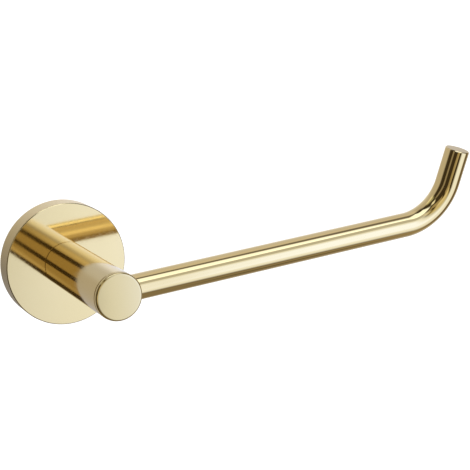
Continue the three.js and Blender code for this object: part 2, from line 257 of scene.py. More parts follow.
def rounded(corners, steps=5):
    """A profile of straight lines with rounded corners, each given as (radius, out, rounding).

    An arc that touches both lines replaces each corner: it starts rounding x tan(half the turn)
    from the corner. A point just past each end of the arc keeps the straight parts flat. Returns
    radius, out and wear, which is 1 on the arcs.
    """
    corners = np.asarray(corners, float)
    points, wear = [corners[:1, :2]], [np.zeros(1)]
    for before, here, after in zip(corners[:-2], corners[1:-1], corners[2:]):
        corner, rounding = here[:2], here[2]
        back = (before[:2] - corner) / np.linalg.norm(before[:2] - corner)
        on = (after[:2] - corner) / np.linalg.norm(after[:2] - corner)
        turn = np.pi - np.arccos(np.clip(back @ on, -1, 1))
        if rounding == 0:
            points.append(corner[None])
            wear.append(np.zeros(1))
            continue
        cut = rounding * np.tan(turn / 2)
        middle = back + on
        centre = corner + middle / np.linalg.norm(middle) * rounding / np.cos(turn / 2)
        share = np.linspace(0, 1, steps + 1)[:, None]
        first, last = corner + back * cut - centre, corner + on * cut - centre
        arc = (np.sin((1 - share) * turn) * first + np.sin(share * turn) * last) / np.sin(turn)
        before_arc, after_arc = corner + back * cut * PAST_ARC, corner + on * cut * PAST_ARC
        points += [before_arc[None], centre + arc, after_arc[None]]
        wear += [np.zeros(1), np.ones(steps + 1), np.zeros(1)]
    points.append(corners[-1:, :2])
    wear.append(np.zeros(1))
    radius, out = np.concatenate(points).T
    return radius, out, np.concatenate(wear)


def spin(radius, out, wear=0.0, sides=96):
    """A profile carried round the Y axis: (r cos a, -out, r sin a) for a full turn of a.

    Each row of radius and out is one value, or one for each side where the section isn't round.
    """
    angle = np.linspace(0, 2 * np.pi, sides + 1)
    radius = np.stack([np.broadcast_to(row, angle.shape) for row in radius])
    out = np.stack([np.broadcast_to(row, angle.shape) for row in out])
    grid = np.stack([radius * np.cos(angle), -out, radius * np.sin(angle)], -1)
    return grid, np.broadcast_to(np.reshape(wear, (-1, 1)), radius.shape)


def straight(radius_from, out_from, radius_to, out_to, count):
    """Evenly spaced corners, with no rounding, that divide a straight part of a profile."""
    share = np.linspace(0, 1, count)
    radius = radius_from + (radius_to - radius_from) * share
    return [(r, o, 0) for r, o in zip(radius, out_from + (out_to - out_from) * share)]


def row_at(profile, radius, out):
    """The number of the profile's point that is nearest to a place."""
    return int(np.hypot(profile[0] - radius, profile[1] - out).argmin())


def round_window(grid, rows, columns):
    """The points once round a window of a grid, ending where they began."""
    (top, bottom), (left, right) = rows, columns
    down, over = np.arange(top, bottom), np.arange(left, right)
    row = np.r_[down, 0 * over + bottom, down[::-1] + 1, 0 * over + top, top]
    column = np.r_[0 * down + left, over, 0 * down + right, over[::-1] + 1, left]
    return grid[row, column]


def bridge(*loops, rows=2):
    """A grid that runs straight from each loop of points to the next."""
    share = np.linspace(0, 1, rows)[:, None, None]
    return np.concatenate([a + (b - a) * share for a, b in zip(loops[:-1], loops[1:])])


def oval(angle, width, out, middle):
    """A slot's outline: a circle whose right and left halves are moved apart by the travel."""
    x = width / 2 * np.cos(angle) + SLOT_TRAVEL / 2 * np.sign(np.cos(angle))
    return np.stack([x, -out + 0 * angle, middle + width / 2 * np.sin(angle)], -1)


ZINC_BLUE = (0.52, 0.55, 0.58)
ZINC_STRAW = (0.62, 0.60, 0.53)
ZINC_ROUGHNESS = (0.22, 0.4)


def zinc_plated():
    """Zinc-plated steel: a pale blue-grey with straw clouds, turning marks and duller edges."""
    made, tree, shader, place = blank("zinc_plated_steel")
    cloud = grain(tree, place, scale=90, detail=4)
    spots = grain(tree, place, scale=700, detail=5)
    turning = node(tree, "TexWave", {"Vector": place, "Scale": 700, "Distortion": 0.4},
                   wave_type="RINGS", rings_direction="Y").outputs["Fac"]
    colour = tint(tree, span(tree, cloud, 0, 1, *NOISE_MIDDLE), ZINC_BLUE, ZINC_STRAW)
    tree.links.new(colour, shader.inputs["Base Color"])
    shader.inputs["Metallic"].default_value = 1
    edges = span(tree, worn_edges(tree), 0, 0.1)
    rough = calc(tree, "ADD", span(tree, spots, *ZINC_ROUGHNESS, *NOISE_MIDDLE), edges)
    tree.links.new(rough, shader.inputs["Roughness"])
    roughen(tree, shader, calc(tree, "ADD", spots, turning), strength=0.25, depth=0.01 * MM)
    return made


PLATE_WEB = 1.5 * MM
PLATE_SHELF = 2.4 * MM
PLATE_RECESS = 7 * MM
PLATE_BEVEL = 0.5 * MM
PLATE_FILLET = 0.3 * MM
RECESS_ROUND = 0.2 * MM
BEVEL_ROUND = 0.1 * MM
PLATE_BACK_ROUND = 0.15 * MM
SLOT_TRAVEL = 4 * MM
SHANK_SLOT = 4.5 * MM
HEAD_SLOT = 8.3 * MM
SLOT_EDGE = 0.2 * MM
PLATE_SIDES = 240
PLATE_RINGS = 12
INNER_LAND = 0.6 * MM  # plain ring between the recess and the windows
OUTER_LAND = 1.3 * MM  # plain ring between the windows and the edge
WINDOW_HALF = PLATE_SIDES // 8
UPWARDS = 0.25  # shares of a full turn
DOWNWARDS = 0.75


def slotted_plate(name, low, high, screw_height):
    """A turned disc with two windows in each face. In each window, the front face runs in to the
    head slot's outline, down it, across the shelf to the shank slot's outline, and down that to
    the back face, always along the same directions from the slot's middle."""
    radius, out = high.x, -low.y
    inner, outer = PLATE_RECESS + INNER_LAND, radius - OUTER_LAND
    profile = rounded(
        [(0, PLATE_WEB, 0), (PLATE_RECESS, PLATE_WEB, PLATE_FILLET)]
        + [(PLATE_RECESS, out, RECESS_ROUND)]
        + straight(inner, out, outer, out, PLATE_RINGS + 1)
        + [(radius - PLATE_BEVEL, out, BEVEL_ROUND), (radius, out - PLATE_BEVEL, BEVEL_ROUND)]
        + [(radius, 0, PLATE_BACK_ROUND)]
        + straight(outer, 0, inner, 0, PLATE_RINGS + 1)
        + [(0, 0, 0)]
    )
    grid, wear = spin(*profile, sides=PLATE_SIDES)
    front, back = row_at(profile, inner, out), row_at(profile, outer, 0)
    patches, windows = [], []
    for turn, middle in ((UPWARDS, screw_height), (DOWNWARDS, -screw_height)):
        column = int(turn * PLATE_SIDES)
        columns = (column - WINDOW_HALF, column + WINDOW_HALF)
        windows += [((row, row + PLATE_RINGS), columns) for row in (front, back)]
        edge = round_window(grid, (front, front + PLATE_RINGS), columns)
        angle = np.arctan2(edge[:, 2] - middle, edge[:, 0])
        levels = (
            (HEAD_SLOT + SLOT_EDGE, out),
            (HEAD_SLOT, out - SLOT_EDGE / 2),
            (HEAD_SLOT, PLATE_SHELF),
            (SHANK_SLOT, PLATE_SHELF),
            (SHANK_SLOT, 0),
        )
        loops = [oval(angle, width, level, middle) for width, level in levels]
        patches.append((bridge(edge, *loops, edge * (1, 0, 1), rows=3), 0.0))
    return skin(name, [(grid, wear, *windows), *patches])


upper_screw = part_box("wall_screw_upper")
screw_height = (upper_screw[0].z + upper_screw[1].z) / 2
zinc = zinc_plated()
plate = slotted_plate("slotted_wall_plate", *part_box("wall_plate"), screw_height)
stand_for(plate, "wall_plate", "wall_side", zinc)


# ---------------------------------------------------------------------------------------------
# Wall screws. Two pan-head wood screws of bright steel, pressed with a cross recess and rolled
# with a coarse thread that cuts into the plugs.
# ---------------------------------------------------------------------------------------------
def thread(out, angle, pitch, sharpness=1.0):
    """How far a point is up a right-hand thread's ridge, from 0 to 1: a triangle wave of the
    distance along the screw less the share of a turn."""
    wave = 1 - np.abs(2 * np.mod(out / pitch - angle / (2 * np.pi), 1) - 1)
    return np.clip(1 - (1 - wave) * sharpness, 0, 1)


def ease(value):
    """0 below 0, 1 above 1 and a smooth step between."""
    value = np.clip(value, 0, 1)
    return value * value * (3 - 2 * value)


STEEL_DARK = (0.36, 0.37, 0.38)
STEEL_LIGHT = (0.52, 0.53, 0.54)
STEEL_PIT = (0.16, 0.15, 0.14)
STEEL_RIDGE = (0.68, 0.68, 0.67)
STEEL_ROUGHNESS = (0.24, 0.45)
PITTED = (0.62, 0.75)  # the noise values where a pit starts and is deepest


def screw_metal():
    """Bright screw steel: cool grey, with rolled streaks, small dark pits and paler ridges."""
    made, tree, shader, place = blank("screw_steel")
    streak = grain(tree, place, scale=500, detail=3, stretch=(1, 0.15, 1))
    pits = grain(tree, place, scale=2400, detail=4)
    colour = tint(tree, span(tree, streak, 0, 1, *NOISE_MIDDLE), STEEL_DARK, STEEL_LIGHT)
    dark = tint(tree, span(tree, pits, 0, 0.6, *PITTED), colour, STEEL_PIT)
    bright = tint(tree, span(tree, worn_edges(tree), 0, 0.6), dark, STEEL_RIDGE)
    tree.links.new(bright, shader.inputs["Base Color"])
    shader.inputs["Metallic"].default_value = 1
    rough = span(tree, pits, *STEEL_ROUGHNESS, *NOISE_MIDDLE)
    tree.links.new(rough, shader.inputs["Roughness"])
    roughen(tree, shader, pits, strength=0.3, depth=0.01 * MM)
    return made


HEAD_EDGE = 1.1 * MM
HEAD_HEIGHT = 2.6 * MM
RECESS_REACH = 2.1 * MM
RECESS_HALF = 0.45 * MM
RECESS_DEPTH = 1.4 * MM
RECESS_SOFT = 0.15 * MM
RECESS_TAPER = 0.5
HEAD_RINGS = 61
HEAD_CROWDING = 0.8  # under 1 sets the rings closer towards the edge
SEAT_ROUND = 0.2 * MM
THREAD_PITCH = 1.8 * MM
THREAD_DEPTH = 0.65 * MM
THREAD_SHARPNESS = 1.8
THREAD_START = 0.4
SHANK_RADIUS = 2 * MM
SHANK_ROWS = 260
POINT_LENGTH = 6 * MM
SCREW_SIDES = 96


def cross_head(head_radius):
    """The head: a flattened half-ellipse over the polar grid (r, a), lowered where a cross lies."""
    angle = np.linspace(0, 2 * np.pi, SCREW_SIDES + 1)
    r = np.linspace(0, 1, HEAD_RINGS)[:, None] ** HEAD_CROWDING * head_radius
    x, z = np.abs(r * np.cos(angle)), np.abs(r * np.sin(angle))
    arms = [ease((RECESS_HALF - a) / RECESS_SOFT + 0.5) * ease((RECESS_REACH - b) / RECESS_SOFT + 0.5)
            for a, b in ((x, z), (z, x))]
    dome = HEAD_EDGE + (HEAD_HEIGHT - HEAD_EDGE) * np.sqrt(1 - (r / head_radius) ** 2)
    out = dome - RECESS_DEPTH * np.maximum(*arms) * (1 - r / head_radius * RECESS_TAPER)
    return spin(r + 0 * angle, out, sides=SCREW_SIDES)


def wood_screw(name, low, high):
    """The head, then its side and seat, then a shank whose radius is a core plus the thread's
    ridge, both drawn in to nothing along the point."""
    head_radius = (high.x - low.x) / 2
    seat = -low.y - HEAD_HEIGHT
    end = -high.y - seat
    angle = np.linspace(0, 2 * np.pi, SCREW_SIDES + 1)
    out = np.linspace(0, end, SHANK_ROWS)[:, None]
    point = ease((out - end) / POINT_LENGTH)
    ridge = thread(out, angle, THREAD_PITCH, THREAD_SHARPNESS)
    ridge = ridge * ease(-out / (2 * THREAD_PITCH) - THREAD_START)
    core = SHANK_RADIUS - THREAD_DEPTH
    radius = (core + THREAD_DEPTH * ridge) * point
    neck = rounded([(head_radius, HEAD_EDGE, 0), (head_radius, 0, SEAT_ROUND), (core, 0, 0)])
    shank = spin(radius, out + 0 * angle, sides=SCREW_SIDES)[0]
    patches = [cross_head(head_radius), spin(*neck, sides=SCREW_SIDES), (shank, ridge)]
    centre = np.array([0, -seat, (low.z + high.z) / 2])
    return skin(name, [(grid + centre, wear) for grid, wear in patches])


steel = screw_metal()
for where in ("upper", "lower"):
    screw = wood_screw("cross_head_screw_" + where, *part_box("wall_screw_" + where))
    stand_for(screw, "wall_screw_" + where, "wall_side", steel)


# ---------------------------------------------------------------------------------------------
# Flange cover. A cup turned from brass, polished to a mirror and gold plated. It hides the plate,
# its front is bored for the post screw, and its underside is drilled for the set screw.
# ---------------------------------------------------------------------------------------------
GOLD_WARM = (0.94, 0.73, 0.33)
GOLD_PALE = (0.97, 0.76, 0.36)
GOLD_WORN = (0.98, 0.85, 0.55)
# Painted shade: a darker, deeper gold that the post and the cap are partly mixed towards.
GOLD_SHADED = (0.62, 0.47, 0.19)
# Painted shade: the dark gold that the lower half of the flange's satin rim is mixed towards.
GOLD_RIM_SHADE = (0.40, 0.30, 0.115)
POLISH_ROUGHNESS = (0.03, 0.06)
SMEAR_DULL = 0.04
SMEARED = (0.5, 0.8)  # the noise values where a smear starts and is thickest
EDGE_DULL = 0.05
RIM_DULL = 0.25
RIM_EDGE = 0.1 * MM
# Heights at which the rim's painted shade is full and at which it has faded to a little.
RIM_SHADE_FULL_Z = 2 * MM
RIM_SHADE_FADED_Z = 23 * MM


def polished_gold(name, marks, dull=0.0, shade_share=0.0, rim=1.0):
    """Gold plate on polished brass: a warm mirror with faint clouds, fine polish marks drawn out
    along the mop's path, a few soft smears, and edges that are paler and a little duller. The
    plate can be duller, and a share of it can be mixed towards a darker, deeper gold as painted
    shade. From a rim's radius outwards it is satin, with painted shade that darkens its lower half."""
    made, tree, shader, place = blank(name)
    cloud = grain(tree, place, scale=30, detail=3)
    smear = grain(tree, place, scale=90, detail=4)
    mark = grain(tree, place, scale=900, detail=3, stretch=marks)
    colour = tint(tree, span(tree, cloud, 0, 1, *NOISE_MIDDLE), GOLD_WARM, GOLD_PALE)
    pale = tint(tree, span(tree, worn_edges(tree), 0, 0.5), colour, GOLD_WORN)
    parts = node(tree, "SeparateXYZ", {"Vector": place}).outputs
    across = node(tree, "CombineXYZ", {"X": parts["X"], "Y": parts["Z"]}).outputs[0]
    radius = node(tree, "VectorMath", {0: across}, operation="LENGTH").outputs["Value"]
    satin = span(tree, radius, 0, 1, rim - RIM_EDGE, rim)
    # Painted shade: the piece's gold is mixed towards the darker gold by the given share.
    plated = tint(tree, shade_share, pale, GOLD_SHADED)
    # Painted shade on the satin rim: full below the lower height, fading upwards to a little of it at
    # the upper height.
    rim_shade_below = span(tree, parts["Z"], 1, 0.15, RIM_SHADE_FULL_Z, RIM_SHADE_FADED_Z)
    plated = tint(tree, calc(tree, "MULTIPLY", satin, rim_shade_below), plated, GOLD_RIM_SHADE)
    tree.links.new(plated, shader.inputs["Base Color"])
    shader.inputs["Metallic"].default_value = 1
    polish = span(tree, mark, *POLISH_ROUGHNESS, *NOISE_MIDDLE)
    polish = calc(tree, "ADD", polish, span(tree, smear, 0, SMEAR_DULL, *SMEARED))
    rough = calc(tree, "ADD", polish, span(tree, worn_edges(tree), dull, dull + EDGE_DULL))
    rough = calc(tree, "ADD", rough, calc(tree, "MULTIPLY", satin, RIM_DULL))
    tree.links.new(rough, shader.inputs["Roughness"])
    roughen(tree, shader, mark, strength=0.05, depth=0.004 * MM)
    return made


def hole_through_wall(edge, facing, wall_radius, hole_radius, middle_out, rows=6):
    """Joins a window in a turned wall to a round hole that is drilled towards the axis.

    The window's points and the hole's are taken as a distance across and out, the rows between
    them run straight in that plane, and each is then set back on the wall: the depth along the
    drill is the root of wall radius squared less across squared. Returns the rows and the hole's
    directions.
    """
    across = edge @ np.array([-np.sin(facing), 0, np.cos(facing)])
    out = -edge[:, 1]
    angle = np.arctan2(out - middle_out, across)
    share = ease(np.linspace(0, 1, rows))[:, None]
    across = across + (hole_radius * np.cos(angle) - across) * share
    out = out + (middle_out + hole_radius * np.sin(angle) - out) * share
    return drilled(across, out, facing, np.sqrt(wall_radius**2 - across**2)), angle


def drilled(across, out, facing, depth):
    """Points at a distance across a drill's axis, out from the wall and along the drill."""
    x = depth * np.cos(facing) - across * np.sin(facing)
    z = depth * np.sin(facing) + across * np.cos(facing)
    return np.stack([x, -out, z], -1)


COVER_WALL = 3 * MM
COVER_INSIDE = 6.6 * MM
COVER_BEVEL = 0.3 * MM
COVER_BEVEL_ROUND = 0.08 * MM
COVER_BACK_ROUND = 0.2 * MM
COVER_HOLE_ROUND = 0.15 * MM
COVER_CORNER = 0.01 * MM
COVER_SIDES = 360
COVER_RIM = 24.9 * MM
POST_SCREW_HOLE = 3.3 * MM
HOLE_START = 1 * MM  # where in the hole the profile begins and ends
SET_SCREW_HOLE = 2.3 * MM
DRILL_HALF = 3.2 * MM
DRILL_ROWS = 10
DRILL_COLUMNS = 8
CORNER_LAND = 0.03 * MM
DOWN = -np.pi / 2


def cup(name, low, high, set_screw_out):
    """The flange's profile carried round the post's axis, with a hole drilled up into its side."""
    radius, out = high.x, -low.y
    inside = radius - COVER_WALL
    near, far = set_screw_out - DRILL_HALF, set_screw_out + DRILL_HALF
    far_inside = COVER_INSIDE - CORNER_LAND
    start = (POST_SCREW_HOLE, COVER_INSIDE + HOLE_START, 0)
    profile = rounded(
        [start, (POST_SCREW_HOLE, out, COVER_HOLE_ROUND)]
        + [(radius - COVER_BEVEL, out, COVER_BEVEL_ROUND)]
        + [(radius, out - COVER_BEVEL, COVER_BEVEL_ROUND)]
        + straight(radius, far, radius, near, DRILL_ROWS + 1)
        + [(radius, 0, COVER_BACK_ROUND), (inside, 0, COVER_BACK_ROUND)]
        + straight(inside, near, inside, far_inside, DRILL_ROWS + 1)
        + [(inside, COVER_INSIDE, COVER_CORNER)]
        + [(POST_SCREW_HOLE, COVER_INSIDE, COVER_HOLE_ROUND), start]
    )
    grid, wear = spin(*profile, sides=COVER_SIDES)
    column = 3 * COVER_SIDES // 4
    columns = (column - DRILL_COLUMNS, column + DRILL_COLUMNS)
    first = row_at(profile, radius, far)
    outer_rows = (first, first + DRILL_ROWS)
    outer_edge = round_window(grid, outer_rows, columns)
    outer, angle = hole_through_wall(outer_edge, DOWN, radius, SET_SCREW_HOLE, set_screw_out)
    # The profile runs the other way inside, so the inner window is taken from its end.
    first, last = row_at(profile, inside, near), len(grid) - 1
    inner_rows = (first, first + DRILL_ROWS)
    inner_edge = round_window(grid[::-1], (last - inner_rows[1], last - inner_rows[0]), columns)
    inner, _ = hole_through_wall(inner_edge, DOWN, inside, SET_SCREW_HOLE, set_screw_out)
    across = SET_SCREW_HOLE * np.cos(angle)
    hole_out = set_screw_out + SET_SCREW_HOLE * np.sin(angle)
    end = drilled(across, hole_out, DOWN, np.sqrt(inside**2 - across**2))
    inner[-1] = end
    walls = (outer, 0.0), (inner, 0.0), (bridge(outer[-1], end), 0.0)
    return skin(name, [(grid, wear, (outer_rows, columns), (inner_rows, columns)), *walls])


set_screw_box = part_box("flange_set_screw")
set_screw_out = -(set_screw_box[0].y + set_screw_box[1].y) / 2
# The flange's gold has painted shade on the lower half of its satin rim.
turned_gold = polished_gold("gold_plate_turned", (1, 0.25, 1), dull=0.02, rim=COVER_RIM)
cover = cup("polished_flange_cover", *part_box("flange_cover"), set_screw_out)
stand_for(cover, "flange_cover", "holder", turned_gold)


# ---------------------------------------------------------------------------------------------
# Post. Turned from brass rod and gold plated. It stands on the flange, ends in a fine neck
# behind the cap, and is bored from the side for the bar.
# ---------------------------------------------------------------------------------------------
NECK_RADIUS = 8.4 * MM
NECK_OUT = 64.0 * MM
TAPPING_END = 22.8 * MM
TAPPING_POINT = 24.7 * MM
POST_WEAR = 0.3  # how much of the worn edges' paler colour shows
SHOULDER_ROUND = 0.2 * MM
FOOT_ROUND = 0.12 * MM
POST_HOLE_ROUND = 0.2 * MM
NECK_ROUND = 0.06 * MM
NECK_FILLET = 0.05 * MM
BORE_GAP = 0.2 * MM
BORE_EDGE = 0.08 * MM
BORE_END_GAP = 0.3 * MM
BORE_BEFORE = 5.9 * MM  # the bore's window, towards the wall and away from it
BORE_BEYOND = 5.5 * MM
BORE_ROWS = 14
BORE_COLUMNS = 20
SADDLE_ROWS = 9
POST_SIDES = 180
RIGHT = 0.0

bar_low, bar_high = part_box("bar")
bar_radius = -bar_low.z
bar_out = bar_radius - bar_high.y


def bored_post(name, low, high):
    """The post's profile carried round its axis, with a blind bore that meets its side in a
    saddle-shaped rim and ends flat just past the bar's inner end."""
    radius, out, back = high.x, -low.y, -high.y
    near, far = bar_out - BORE_BEFORE, bar_out + BORE_BEYOND
    profile = rounded(
        [(0, out, 0), (NECK_RADIUS, out, NECK_ROUND), (NECK_RADIUS, NECK_OUT, NECK_FILLET)]
        + [(radius, NECK_OUT, SHOULDER_ROUND)]
        + straight(radius, far, radius, near, BORE_ROWS + 1)
        + [(radius, back, FOOT_ROUND), (POST_SCREW_HOLE, back, POST_HOLE_ROUND)]
        + [(POST_SCREW_HOLE, TAPPING_END, 0), (0, TAPPING_POINT, 0)]
    )
    grid, wear = spin(*profile, sides=POST_SIDES)
    # The seam is turned away from the bore, so that the bore's window lies in one piece.
    grid, wear = np.roll(grid[:, :-1], POST_SIDES // 2, axis=1), wear[:, :-1]
    grid = np.concatenate([grid, grid[:, :1]], axis=1)
    wear = np.concatenate([wear, wear[:, :1]], axis=1)
    start = row_at(profile, radius, far)
    rows = (start, start + BORE_ROWS)
    columns = (POST_SIDES // 2 - BORE_COLUMNS, POST_SIDES // 2 + BORE_COLUMNS)
    edge = round_window(grid, rows, columns)
    bore = bar_radius + BORE_GAP
    wall, angle = hole_through_wall(edge, RIGHT, radius, bore + BORE_EDGE, bar_out, SADDLE_ROWS)
    ring = np.stack([bore * np.cos(angle), bar_out + bore * np.sin(angle)])
    depth = np.sqrt(radius**2 - ring[0] ** 2) - BORE_EDGE
    floor = bar_low.x - BORE_END_GAP
    mouth = drilled(*ring, RIGHT, depth)
    end = drilled(*ring, RIGHT, floor + 0 * angle)
    middle = drilled(0 * angle, bar_out + 0 * angle, RIGHT, floor + 0 * angle)
    chamfer = (bridge(wall[-1], mouth), 1.0)
    return skin(name, [(grid, wear * POST_WEAR, (rows, columns)), (wall, 0.0), chamfer,
                       (bridge(mouth, end, middle), 0.0)])


post = bored_post("polished_post", *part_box("post"))
# The post's gold is a darker copy of the same plate: painted shade.
post_gold = polished_gold("gold_plate_post", (1, 0.25, 1), dull=0.05, shade_share=0.42)
stand_for(post, "post", "holder", post_gold)


# ---------------------------------------------------------------------------------------------
# Locating pin. A short steel dowel with rounded ends. It sits in a hole through the flange's front
# and another in the post's back, and stops the post from turning on the flange.
# ---------------------------------------------------------------------------------------------
PIN_ROUND = 0.3 * MM
PIN_SIDES = 64


def dowel(name, low, high):
    """A rod on the Y direction with rounded ends."""
    radius, out, back = (high.x - low.x) / 2, -low.y, -high.y
    ends = [(radius, out, PIN_ROUND), (radius, back, PIN_ROUND)]
    profile = rounded([(0, out, 0), *ends, (0, back, 0)])
    grid, wear = spin(*profile, sides=PIN_SIDES)
    return skin(name, [(grid + np.array([0, 0, (low.z + high.z) / 2]), wear)])


pin = dowel("steel_dowel", *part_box("locating_pin"))
stand_for(pin, "locating_pin", "holder", steel)


# ---------------------------------------------------------------------------------------------
# Post screw and spring washer. A cap screw with a hexagon socket pulls the post against the
# flange from inside, and the split washer under its head keeps it tight.
# ---------------------------------------------------------------------------------------------
POST_SCREW_RADIUS = 3 * MM
POST_SCREW_PITCH = 1 * MM
POST_SCREW_HEAD_HEIGHT = 2.8 * MM
POST_SCREW_KEY = 4 * MM
POST_SCREW_KEY_DEPTH = 1.8 * MM
POST_SCREW_FACE = 0.75  # the flat face's share of the head
HEAD_ROUND = 0.4 * MM
HEAD_SEAT_ROUND = 0.1 * MM
SOCKET_FLARE = 1.06
SOCKET_MOUTH = 0.1 * MM
SOCKET_CONE = 0.3 * MM
TURN_ROWS = 12
RIDGE_SHARE = 0.54  # a thread's depth against its pitch


def hexagon(across_flats):
    """The distance from a hexagon's middle to its side in each direction: half the width across
    flats over the cosine of the angle from the nearest flat's middle."""
    angle = np.linspace(0, 2 * np.pi, SCREW_SIDES + 1)
    return across_flats / 2 / np.cos(np.mod(angle, np.pi / 3) - np.pi / 6)


def machine_screw(face_radius, face, key, key_depth, corners, start, end, radius, pitch):
    """A screw from its socket to its end: the end face runs in to the hexagon, down it and on to
    the middle of its floor; the other way it runs over the corners, then along the thread."""
    way = np.sign(end - face)
    angle = np.linspace(0, 2 * np.pi, SCREW_SIDES + 1)
    flats = hexagon(key)
    floor = face + way * key_depth
    socket = spin([face_radius, flats * SOCKET_FLARE, flats, flats, 0],
                  [face, face, face + way * SOCKET_MOUTH, floor, floor + way * SOCKET_CONE],
                  [0, 1, 1, 0, 0], sides=SCREW_SIDES)
    head = spin(*rounded([(face_radius, face, 0), *corners]), sides=SCREW_SIDES)
    out = np.linspace(start, end, int(abs(end - start) / pitch * TURN_ROWS))[:, None]
    fade = ease(np.abs(out - start) / pitch) * ease(np.abs(out - end) / pitch)
    depth = RIDGE_SHARE * pitch
    ridge = thread(out, angle, pitch)
    turned = radius - depth * (1 - ridge * fade)
    body = spin(turned, out + 0 * angle, sides=SCREW_SIDES)[0]
    tip = spin([radius - depth, 0], [end, end], sides=SCREW_SIDES)
    neck = corners[-1][0], radius - depth
    join = spin(neck, [start, start], sides=SCREW_SIDES)
    return [socket, head, join, (body, ridge * fade), tip]


def cap_screw(name, low, high):
    """The post screw, with its socket facing the wall."""
    head, face, end = high.x, -high.y, -low.y
    seat = face + POST_SCREW_HEAD_HEIGHT
    corners = [(head, face, HEAD_ROUND), (head, seat, HEAD_SEAT_ROUND), (POST_SCREW_RADIUS, seat, 0)]
    patches = machine_screw(head * POST_SCREW_FACE, face, POST_SCREW_KEY, POST_SCREW_KEY_DEPTH,
                            corners, seat, end, POST_SCREW_RADIUS, POST_SCREW_PITCH)
    return skin(name, patches)


WASHER_INSIDE = 3.3 * MM
WASHER_RISE = 0.25 * MM
WASHER_SPLIT = np.radians(10)
WASHER_ROUND = 0.12 * MM
WASHER_ROWS = 97


def split_washer(name, low, high):
    """A rounded section carried nearly once round the Y axis, rising as it goes, with flat ends."""
    outside, out, back = high.x, -low.y, -high.y
    top = out - back - WASHER_RISE
    section = rounded([(WASHER_INSIDE, top / 2, 0), (WASHER_INSIDE, top, WASHER_ROUND),
                       (outside, top, WASHER_ROUND), (outside, 0, WASHER_ROUND),
                       (WASHER_INSIDE, 0, WASHER_ROUND), (WASHER_INSIDE, top / 2, 0)], steps=3)
    radius, rise, wear = (part[:, None] for part in section)
    share = np.linspace(0, 1, WASHER_ROWS)
    angle = np.pi / 2 + WASHER_SPLIT + share * (2 * np.pi - 2 * WASHER_SPLIT)
    level = back + rise + WASHER_RISE * share
    ring = np.stack([radius * np.cos(angle), -level, radius * np.sin(angle)], -1)
    ends = [bridge(ring[:, k], ring[:, k].mean(0) + 0 * ring[:, k]) for k in (0, -1)]
    return skin(name, [(ring, wear + 0 * share), *((end, 0.0) for end in ends)])


post_screw = cap_screw("socket_post_screw", *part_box("post_screw"))
stand_for(post_screw, "post_screw", "holder", steel)
washer = split_washer("split_washer", *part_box("spring_washer"))
stand_for(washer, "spring_washer", "holder", steel)


# ---------------------------------------------------------------------------------------------
# Bar. A round brass rod, bent up and a little outwards at its free end so that the roll can't
# slide off, polished and gold plated. Its inner end sits in the post, pinned by the cap's stud.
# ---------------------------------------------------------------------------------------------
BEND_RADIUS = 21 * MM
BEND_ANGLE = np.radians(74)
BEND_LEAN = np.radians(11)
TIP_LENGTH = 14.3 * MM
TIP_BEVEL = 0.3 * MM
TIP_ROUND = 0.08 * MM
TIP_PLAIN = 0.9  # share of the tip before its last row
BAR_END_ROUND = 0.3 * MM
STRAIGHT_START = 10 * MM
STRAIGHT_ROWS = 8
BEND_ROWS = 65
TIP_ROWS = 5
BAR_SIDES = 128

bend_length = BEND_RADIUS * BEND_ANGLE
straight_end = (bar_high.x + TIP_BEVEL * np.cos(BEND_ANGLE) - bar_radius * np.sin(BEND_ANGLE)
                - BEND_RADIUS * np.sin(BEND_ANGLE) - TIP_LENGTH * np.cos(BEND_ANGLE))
bar_end = straight_end + bend_length + TIP_LENGTH


def bent_bar(name):
    """A circle carried along the bar. At a distance s from the post's axis, the centre line has
    turned up by (s - straight part) / bend radius, held between nothing and the whole bend. The
    circle shrinks along a bevel at each end and then closes on the centre line. The whole bar is
    then turned about its own straight axis by the lean, which brings the raised end outwards."""
    along = np.concatenate([
        np.linspace(STRAIGHT_START, straight_end, STRAIGHT_ROWS),
        straight_end + np.linspace(0, bend_length, BEND_ROWS)[1:],
        straight_end + bend_length + np.linspace(0, TIP_PLAIN, TIP_ROWS)[1:] * TIP_LENGTH])
    stations = rounded([
        (0, bar_low.x, 0), (bar_radius, bar_low.x, BAR_END_ROUND),
        *[(bar_radius, s, 0) for s in along],
        (bar_radius, bar_end - TIP_BEVEL, TIP_ROUND), (bar_radius - TIP_BEVEL, bar_end, TIP_ROUND),
        (0, bar_end, 0)])
    radius, s, wear = (part[:, None] for part in stations)
    turned = np.clip((s - straight_end) / BEND_RADIUS, 0, BEND_ANGLE)
    tip = np.maximum(s - straight_end - bend_length, 0)
    x = np.minimum(s, straight_end) + BEND_RADIUS * np.sin(turned) + tip * np.cos(turned)
    z = BEND_RADIUS * (1 - np.cos(turned)) + tip * np.sin(turned)
    side = np.linspace(0, 2 * np.pi, BAR_SIDES + 1)
    rise = radius * np.sin(side)
    x, y, z = x - rise * np.sin(turned), -radius * np.cos(side), z + rise * np.cos(turned)
    sine, cosine = np.sin(BEND_LEAN), np.cos(BEND_LEAN)
    y, z = y * cosine - z * sine, y * sine + z * cosine
    return skin(name, [(np.stack([x, y - bar_out, z], -1), wear + 0 * side)])


bar_gold = polished_gold("gold_plate_drawn", (0.2, 1, 1))
stand_for(bent_bar("polished_bar"), "bar", "holder", bar_gold)


# ---------------------------------------------------------------------------------------------
# Front cap. A turned brass disc with a stud behind it. It closes the post, and its stud passes
# through the neck and the bar.
# ---------------------------------------------------------------------------------------------
CAP_THICKNESS = 1.5 * MM
CAP_ROUND = 0.85 * MM
CAP_WEAR = 0.2  # as on the post
CAP_STEPS = 10
CAP_BACK_ROUND = 0.1 * MM
CAP_CROWN = 0.15 * MM
CROWN_END = 0.86  # share of the radius where the crown meets the rounded edge
CROWN_ROWS = 20
STUD_RADIUS = 2 * MM
STUD_FILLET = 0.1 * MM
STUD_ROUND = 0.3 * MM


